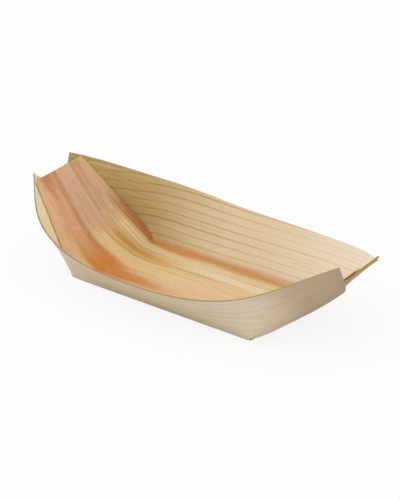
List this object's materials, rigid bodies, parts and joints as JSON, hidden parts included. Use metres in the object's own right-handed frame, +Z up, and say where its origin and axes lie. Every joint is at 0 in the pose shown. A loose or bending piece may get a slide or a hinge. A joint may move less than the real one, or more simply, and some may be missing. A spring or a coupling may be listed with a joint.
{
  "type": "boat-shaped serving dish",
  "caption": "Boat-shaped serving dish folded from thin pine veneer: flat floor, upturned ends and flared walls whose flaps lap and glue behind the ends.",
  "frame": {"origin": "Middle of the underside of the floor, on the surface that the dish stands on.", "axes": "+X along the boat to its right end in the picture, +Y to the far wall, +Z up out of the open top."},
  "size_m": [0.1701, 0.084, 0.0377],
  "materials": {
    "floor_veneer": "bare sliced pine, matt",
    "wall_veneer": "bare sliced pine, matt",
    "crushed_fibre": "crushed fibre, matt",
    "glue": "dry glue, translucent amber"
  },
  "bodies": {
    "root": {"floor_strip": "floor_veneer", "near_wall": "wall_veneer", "far_wall": "wall_veneer", "near_crease_web": "crushed_fibre", "far_crease_web": "crushed_fibre", "left_inner_glue": "glue", "left_outer_glue": "glue", "right_inner_glue": "glue", "right_outer_glue": "glue"}
  },
  "joints": []
}
